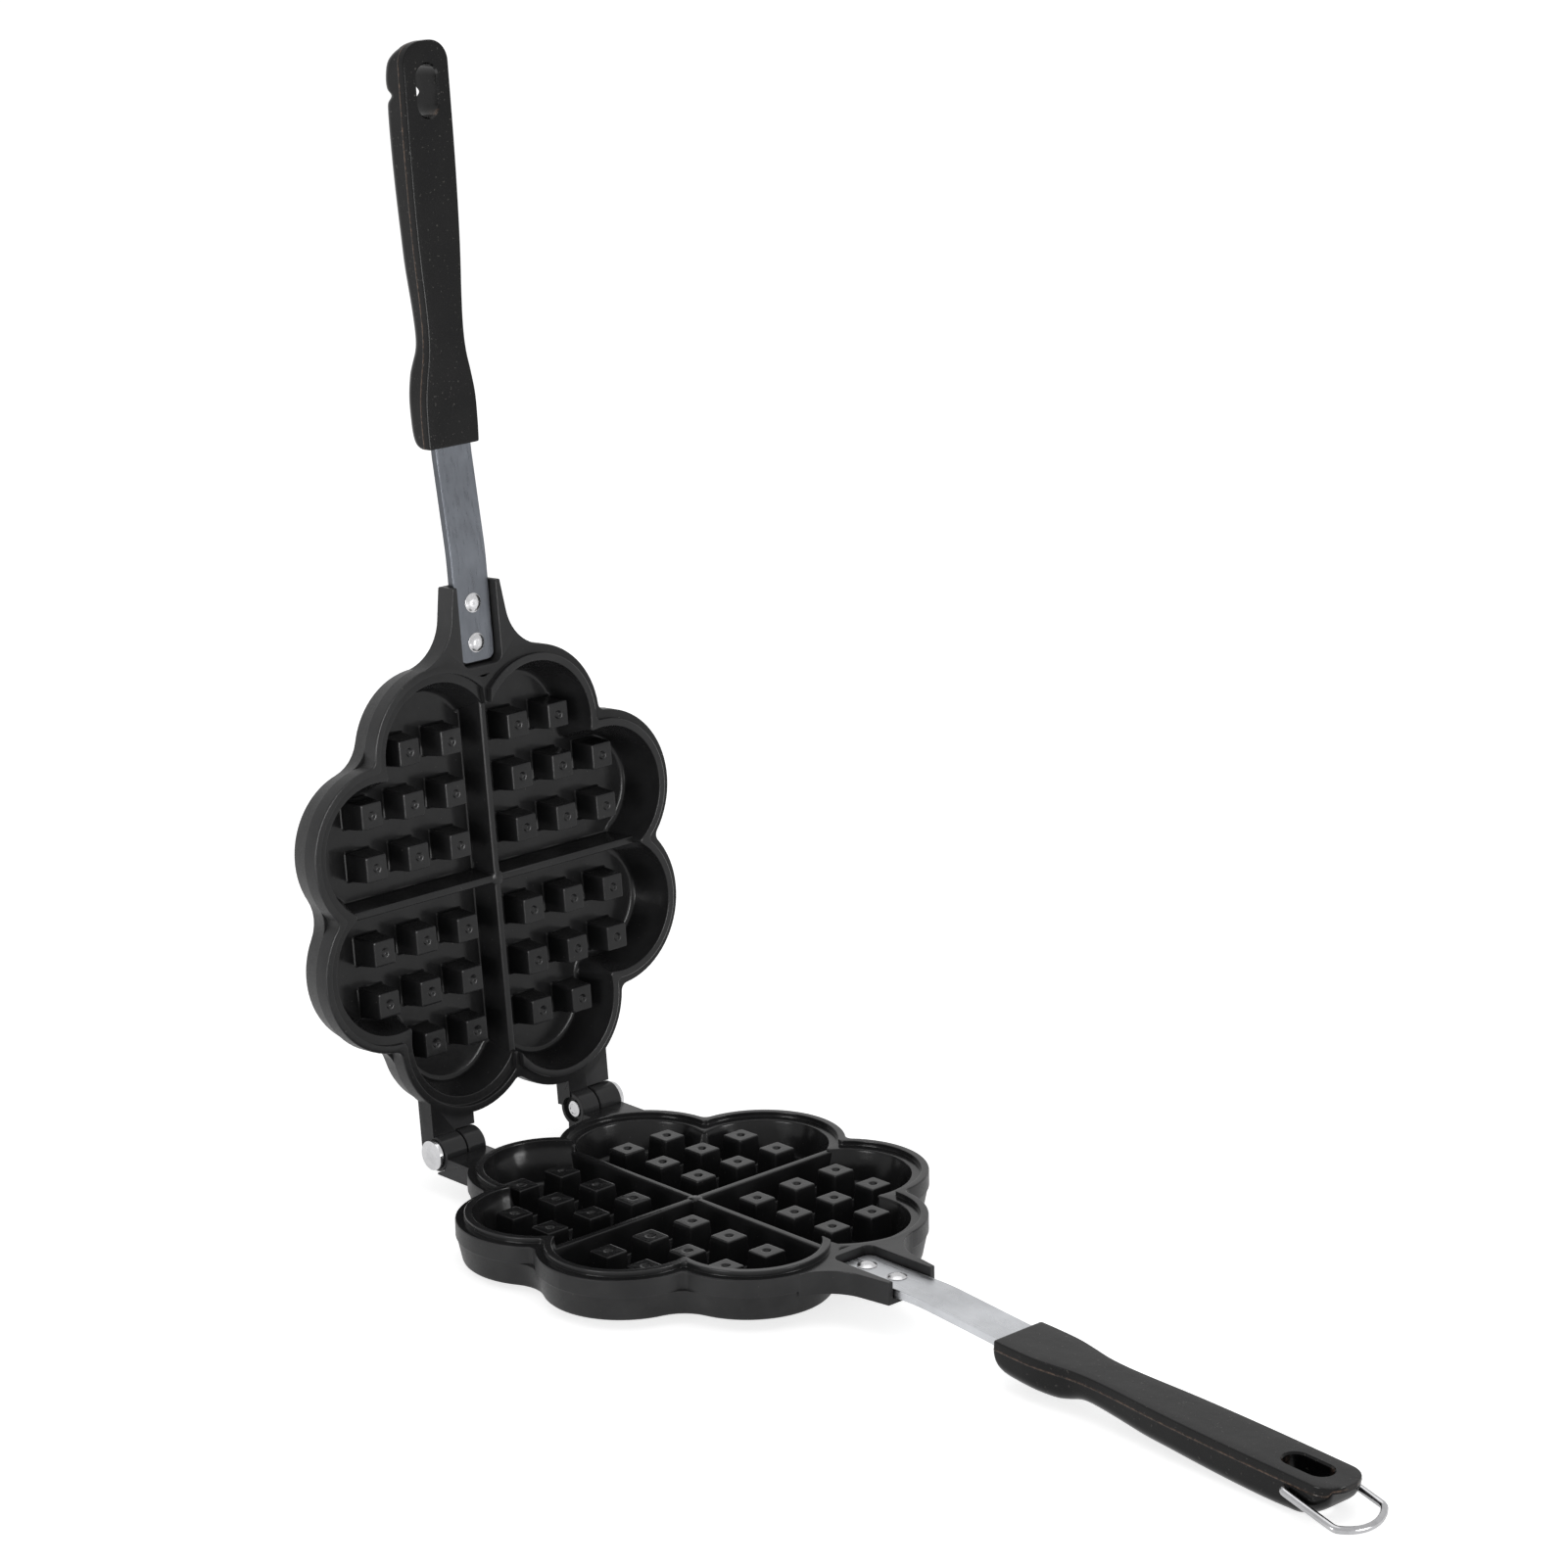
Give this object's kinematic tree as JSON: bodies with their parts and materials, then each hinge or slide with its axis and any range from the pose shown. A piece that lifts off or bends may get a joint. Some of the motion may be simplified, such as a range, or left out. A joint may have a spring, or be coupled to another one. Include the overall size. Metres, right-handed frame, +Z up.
{
  "type": "egg waffle pan",
  "caption": "Double-sided flower-shaped stove-top waffle iron: two hinged cast pans with pegs, riveted strap handles with moulded grips and a wire latch.",
  "frame": {"origin": "centre of the flat base of the lower pan, in the plane of the base", "axes": "+X from the hinge towards the grips, +Y to the far side, +Z up; the lid stands open on its stop"},
  "size_m": [0.4475, 0.1638, 0.4164],
  "materials": {
    "coated_casting": "black non-stick coating on die-cast aluminium",
    "strap_steel": "zinc-plated, satin",
    "rivet_metal": "satin",
    "pin_steel": "bright plated",
    "grip_resin": "black phenolic resin, semi-gloss",
    "wire_steel": "bright plated"
  },
  "bodies": {
    "base": {"lower_pan": "coated_casting", "hinge_pin_near": "pin_steel", "hinge_pin_far": "pin_steel", "lower_strap": "strap_steel", "lower_rivet_inner": "rivet_metal", "lower_rivet_outer": "rivet_metal", "lower_grip": "grip_resin"},
    "lid": {"upper_pan": "coated_casting", "upper_strap": "strap_steel", "upper_rivet_inner": "rivet_metal", "upper_rivet_outer": "rivet_metal", "upper_grip": "grip_resin"},
    "latch": {"latch_wire": "wire_steel"}
  },
  "joints": [
    {"name": "lid_hinge", "type": "hinge", "parent": "base", "child": "lid", "pos_m": [-0.0926, 0, 0.0155], "axis": [0, 1, 0], "range_deg": [0, 94.7]},
    {"name": "latch_swing", "type": "hinge", "parent": "base", "child": "latch", "pos_m": [0.2806, 0, -0.0023], "axis": [0, -1, 0], "range_deg": [-147, 174]}
  ]
}
